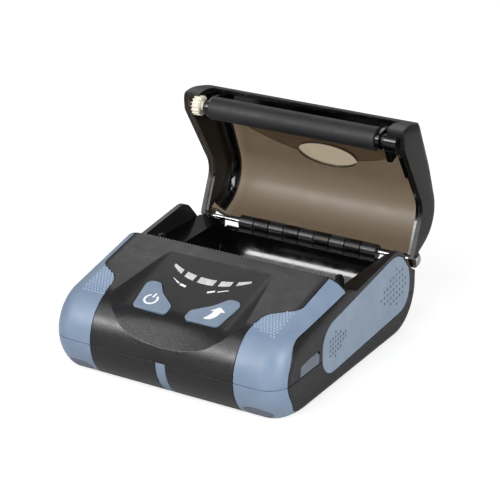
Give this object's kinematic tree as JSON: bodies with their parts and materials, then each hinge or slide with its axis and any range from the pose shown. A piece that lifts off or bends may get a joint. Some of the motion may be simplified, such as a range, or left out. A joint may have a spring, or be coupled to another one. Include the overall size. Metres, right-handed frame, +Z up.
{
  "type": "portable receipt printer",
  "caption": "Portable thermal receipt printer with a smoked hinged paper cover that carries the feed roller, soft corner grips, control buttons and a side port cover.",
  "frame": {"origin": "on the floor under the middle of the body", "axes": "+X to the right seen from the front, +Y to the rear where the lid is hinged, +Z up"},
  "size_m": [0.108, 0.1419, 0.0917],
  "materials": {
    "black_plastic": "moulded black plastic, fine grain",
    "grip_rubber": "soft blue-grey grip",
    "blue_plastic": "blue-grey plastic",
    "grey_plastic": "grey-blue plastic",
    "light_guide": "milky light guide",
    "glossy_black": "glossy black plastic",
    "smoked_cover": "smoked transparent plastic",
    "clear_inlay": "lighter transparent plastic",
    "blade_steel": "bright steel",
    "screw_steel": "blackened steel",
    "platen_rubber": "dark grey rubber",
    "gear_plastic": "white plastic",
    "frame_plastic": "black plastic",
    "head_aluminium": "machined aluminium",
    "heater_ceramic": "glazed ceramic strip",
    "motor_steel": "plated steel",
    "circuit_board": "green circuit board",
    "chip_black": "black plastic",
    "socket_metal": "plated metal",
    "contact_gold": "gold-plated contacts",
    "lamp_plastic": "lamp bodies",
    "foot_rubber": "black rubber"
  },
  "bodies": {
    "body": {"upper_shell": "black_plastic", "lower_shell": "black_plastic", "grip_upper_right": "grip_rubber", "grip_upper_left": "grip_rubber", "grip_lower_right": "grip_rubber", "grip_lower_left": "grip_rubber", "side_panel_right": "grey_plastic", "side_panel_left": "grey_plastic", "accent_strip": "blue_plastic", "corner_pad_right": "blue_plastic", "corner_pad_left": "blue_plastic", "status_light_guide": "light_guide", "tear_blade": "blade_steel", "paper_tray": "glossy_black", "hinge_pin": "blade_steel", "print_frame": "frame_plastic", "head_plate": "head_aluminium", "heater_strip": "heater_ceramic", "head_springs": "blade_steel", "motor_case": "motor_steel", "motor_screws": "screw_steel", "drive_axle": "blade_steel", "reduction_axle": "blade_steel", "main_board": "circuit_board", "main_board_screws": "screw_steel", "processor": "chip_black", "radio_module": "socket_metal", "power_capacitors": "chip_black", "buzzer": "chip_black", "data_socket": "socket_metal", "charging_socket": "socket_metal", "control_board": "circuit_board", "control_board_screws": "screw_steel", "key_switches": "chip_black", "status_lamps": "lamp_plastic", "battery_pack": "chip_black", "battery_contacts": "contact_gold", "paper_sensor": "chip_black", "shell_screws": "screw_steel", "frame_screws": "screw_steel", "rear_feet": "foot_rubber"},
    "lid": {"lid_cover": "smoked_cover", "lid_frame": "glossy_black", "lid_inlay": "clear_inlay", "platen_bushes": "frame_plastic"},
    "platen": {"platen_shaft": "blade_steel", "platen_roller": "platen_rubber", "platen_gear": "gear_plastic"},
    "power_button": {"power_button": "blue_plastic"},
    "feed_button": {"feed_button": "blue_plastic"},
    "port_cover": {"port_cover": "grey_plastic"},
    "battery_latch": {"battery_latch": "frame_plastic"},
    "rotor": {"motor_rotor": "motor_steel"},
    "reduction": {"reduction_gear": "gear_plastic"},
    "drive": {"drive_gear": "gear_plastic"}
  },
  "joints": [
    {"name": "lid_hinge", "type": "hinge", "parent": "body", "child": "lid", "pos_m": [0, 0.0582, 0.0282], "axis": [1, 0, 0], "range_deg": [0, 65]},
    {"name": "platen_spin", "type": "hinge", "parent": "lid", "child": "platen", "pos_m": [0.001, 0.0425, 0.08554], "axis": [1, 0, 0], "continuous": true},
    {"name": "power_press", "type": "slide", "parent": "body", "child": "power_button", "axis": [0, 0.2807, -0.9598], "range_m": [0, 0.0005], "stiffness_N_per_m": 2500, "springref_m": -0.0001},
    {"name": "feed_press", "type": "slide", "parent": "body", "child": "feed_button", "axis": [0, 0.2807, -0.9598], "range_m": [0, 0.0005], "stiffness_N_per_m": 2500, "springref_m": -0.0001},
    {"name": "port_flap", "type": "hinge", "parent": "body", "child": "port_cover", "pos_m": [0.0534, -0.043, 0.018], "axis": [0, 0, -1], "range_deg": [0, 100]},
    {"name": "latch_slide", "type": "slide", "parent": "body", "child": "battery_latch", "axis": [0, 1, 0], "range_m": [0, 0.002]},
    {"name": "motor_spin", "type": "hinge", "parent": "body", "child": "rotor", "pos_m": [-0.045, -0.02239, 0.02309], "axis": [1, 0, 0], "continuous": true},
    {"name": "reduction_spin", "type": "hinge", "parent": "body", "child": "reduction", "pos_m": [-0.045, -0.01003, 0.02527], "axis": [1, 0, 0], "continuous": true},
    {"name": "drive_spin", "type": "hinge", "parent": "body", "child": "drive", "pos_m": [-0.045, -0.00192, 0.02928], "axis": [1, 0, 0], "continuous": true}
  ],
  "couplings": [
    {"joint": "motor_spin", "follows": "reduction_spin", "ratio": -4},
    {"joint": "drive_spin", "follows": "reduction_spin", "ratio": -0.8}
  ]
}
